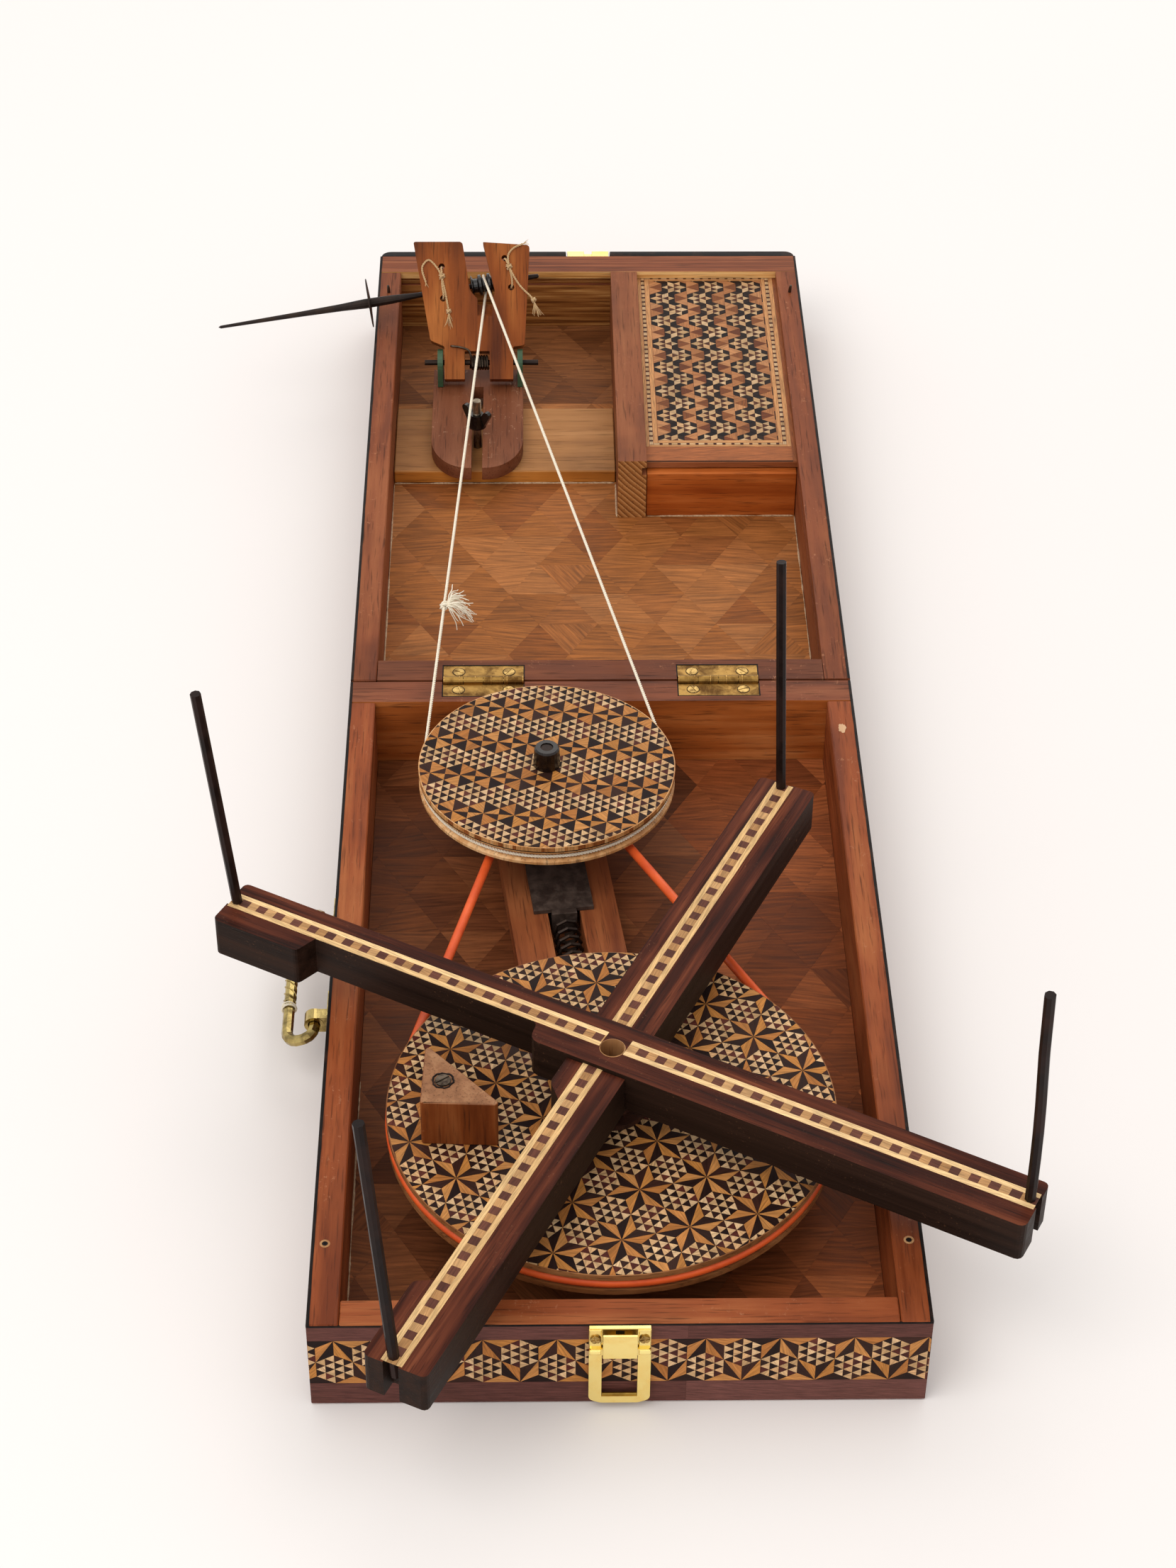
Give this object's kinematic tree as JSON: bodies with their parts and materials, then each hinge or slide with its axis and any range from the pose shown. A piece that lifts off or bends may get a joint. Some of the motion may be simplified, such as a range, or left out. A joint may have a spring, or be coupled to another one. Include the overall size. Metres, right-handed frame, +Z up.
{
  "type": "box charkha",
  "caption": "Folding spinning wheel in a hinged wooden briefcase: belt-linked wheels, sprung spindle fork and a four-armed skein winder.",
  "frame": {"origin": "middle of the base tray's underside, on the table", "axes": "+Y from the base tray over the hinges to the lid's far end, +X to the right, +Z up"},
  "size_m": [0.3963, 0.915, 0.2055],
  "materials": {
    "teak": "oiled reddish teak",
    "parquet": "rhombus veneer, satin",
    "marquetry": "star marquetry, polished",
    "light_wood": "plain light wood",
    "rosewood": "dark polished rosewood with an inlaid strip",
    "fork_wood": "figured orange-brown wood",
    "holder_wood": "matte red-brown wood",
    "dark_steel": "blackened steel wire and sheet",
    "bolt_steel": "plain steel",
    "black": "black",
    "old_brass": "aged brass",
    "bright_brass": "polished brass",
    "green_paint": "green paint on sheet metal",
    "belt_orange": "orange round belt",
    "cotton": "white cotton"
  },
  "bodies": {
    "base": {"base_floor": "parquet", "base_left_wall": "teak", "base_right_wall": "teak", "base_front_wall": "teak", "base_hinge_wall": "teak", "tension_guide": "teak", "large_wheel_bearing": "teak", "large_wheel_axle": "bolt_steel", "left_hinge_base_leaf": "old_brass", "right_hinge_base_leaf": "old_brass", "left_hinge_pin": "old_brass", "right_hinge_pin": "old_brass", "latch_plate": "bright_brass", "handle_front_post": "old_brass", "handle_back_post": "old_brass", "tension_spring": "dark_steel", "drive_belt": "belt_orange", "drive_cord": "cotton"},
    "lid": {"lid_floor": "parquet", "lid_left_wall": "teak", "lid_right_wall": "teak", "lid_end_wall": "teak", "lid_hinge_wall": "teak", "lid_partition": "teak", "compartment_front_wall": "teak", "spindle_batten": "light_wood", "left_hinge_lid_leaf": "old_brass", "right_hinge_lid_leaf": "old_brass", "latch_keeper": "bright_brass", "holder_bolt": "bolt_steel"},
    "cover": {"compartment_cover": "marquetry"},
    "wheel": {"large_wheel": "marquetry", "large_wheel_hub": "black", "crank_block": "fork_wood"},
    "carriage": {"carriage_plate": "dark_steel", "small_wheel_axle": "bolt_steel", "small_wheel_cap": "black"},
    "speed_wheel": {"small_wheel": "marquetry", "small_wheel_pulley": "light_wood"},
    "holder": {"holder_base": "holder_wood", "holder_left_ear": "green_paint", "holder_right_ear": "green_paint", "fork_pivot_rod": "dark_steel", "fork_spring": "dark_steel"},
    "nut": {"wing_nut": "black"},
    "fork": {"spindle_fork": "fork_wood", "left_tie": "cotton", "right_tie": "cotton"},
    "spindle": {"spindle_shaft": "dark_steel", "spindle_disc": "dark_steel", "spindle_pulley": "black"},
    "winder": {"winder_upper_arm": "rosewood", "winder_lower_arm": "rosewood"},
    "left_rod": {"winder_left_rod": "dark_steel"},
    "right_rod": {"winder_right_rod": "dark_steel"},
    "front_rod": {"winder_front_rod": "dark_steel"},
    "back_rod": {"winder_back_rod": "dark_steel"},
    "bail": {"handle_bail": "old_brass"},
    "loop": {"latch_loop": "bright_brass"}
  },
  "joints": [
    {"name": "lid_fold", "type": "hinge", "parent": "base", "child": "lid", "pos_m": [0, 0.2138, 0.049], "axis": [1, 0, 0], "range_deg": [0, 110], "deforming": ["drive_cord"]},
    {"name": "large_wheel_spin", "type": "hinge", "parent": "base", "child": "wheel", "pos_m": [-0.001, -0.0912, 0.049], "axis": [0, 0, 1], "continuous": true},
    {"name": "tension_slide", "type": "slide", "parent": "base", "child": "carriage", "axis": [0.1207, -0.9927, 0], "range_m": [0, 0.01], "stiffness_N_per_m": 600, "springref_m": -0.01, "deforming": ["tension_spring", "drive_belt"]},
    {"name": "small_wheel_spin", "type": "hinge", "parent": "carriage", "child": "speed_wheel", "pos_m": [-0.028, 0.1308, 0.049], "axis": [0, 0, 1], "continuous": true},
    {"name": "winder_turn", "type": "hinge", "parent": "wheel", "child": "winder", "pos_m": [-0.001, -0.0912, 0.074], "axis": [0, 0, 1], "range_deg": [-29, 20]},
    {"name": "left_rod_fold", "type": "hinge", "parent": "winder", "child": "left_rod", "pos_m": [-0.16763, 0.00425, 0.0776], "axis": [0.4825, 0.8759, 0], "range_deg": [-85, 0]},
    {"name": "right_rod_fold", "type": "hinge", "parent": "winder", "child": "right_rod", "pos_m": [0.1674, -0.18032, 0.0776], "axis": [-0.4825, -0.8759, 0], "range_deg": [-85, 0]},
    {"name": "front_rod_fold", "type": "hinge", "parent": "winder", "child": "front_rod", "pos_m": [-0.08878, -0.25918, 0.0756], "axis": [-0.8949, 0.4462, 0], "range_deg": [-85, 0]},
    {"name": "back_rod_fold", "type": "hinge", "parent": "winder", "child": "back_rod", "pos_m": [0.08279, 0.08492, 0.0756], "axis": [0.8949, -0.4462, 0], "range_deg": [-85, 0]},
    {"name": "holder_slide", "type": "slide", "parent": "lid", "child": "holder", "axis": [0, 1, 0], "range_m": [-0.015, 0.025]},
    {"name": "fork_tilt", "type": "hinge", "parent": "holder", "child": "fork", "pos_m": [-0.0665, 0.5327, 0.04], "axis": [1, 0, 0], "range_deg": [-16, 50], "stiffness_Nm_per_rad": 0.6, "springref_deg": 2.58, "deforming": ["fork_spring"]},
    {"name": "spindle_spin", "type": "hinge", "parent": "fork", "child": "spindle", "pos_m": [-0.0625, 0.56928, 0.07131], "axis": [0.9874, 0.1017, 0.1212], "continuous": true},
    {"name": "wing_nut_turn", "type": "hinge", "parent": "lid", "child": "nut", "pos_m": [-0.0665, 0.4748, 0.034], "axis": [0, 0, 1], "range_deg": [-180, 180]},
    {"name": "cover_slide", "type": "slide", "parent": "lid", "child": "cover", "axis": [0, -1, 0], "range_m": [0, 0.15]},
    {"name": "handle_swing", "type": "hinge", "parent": "base", "child": "bail", "pos_m": [-0.1355, 0.0198, 0.027], "axis": [0, 1, 0], "range_deg": [-60, 100]},
    {"name": "latch_swing", "type": "hinge", "parent": "base", "child": "loop", "pos_m": [0, -0.2156, 0.0355], "axis": [-1, 0, 0], "range_deg": [0, 150]}
  ],
  "couplings": [
    {"joint": "small_wheel_spin", "follows": "large_wheel_spin", "ratio": 6.8929},
    {"joint": "spindle_spin", "follows": "large_wheel_spin", "ratio": -79.463}
  ]
}
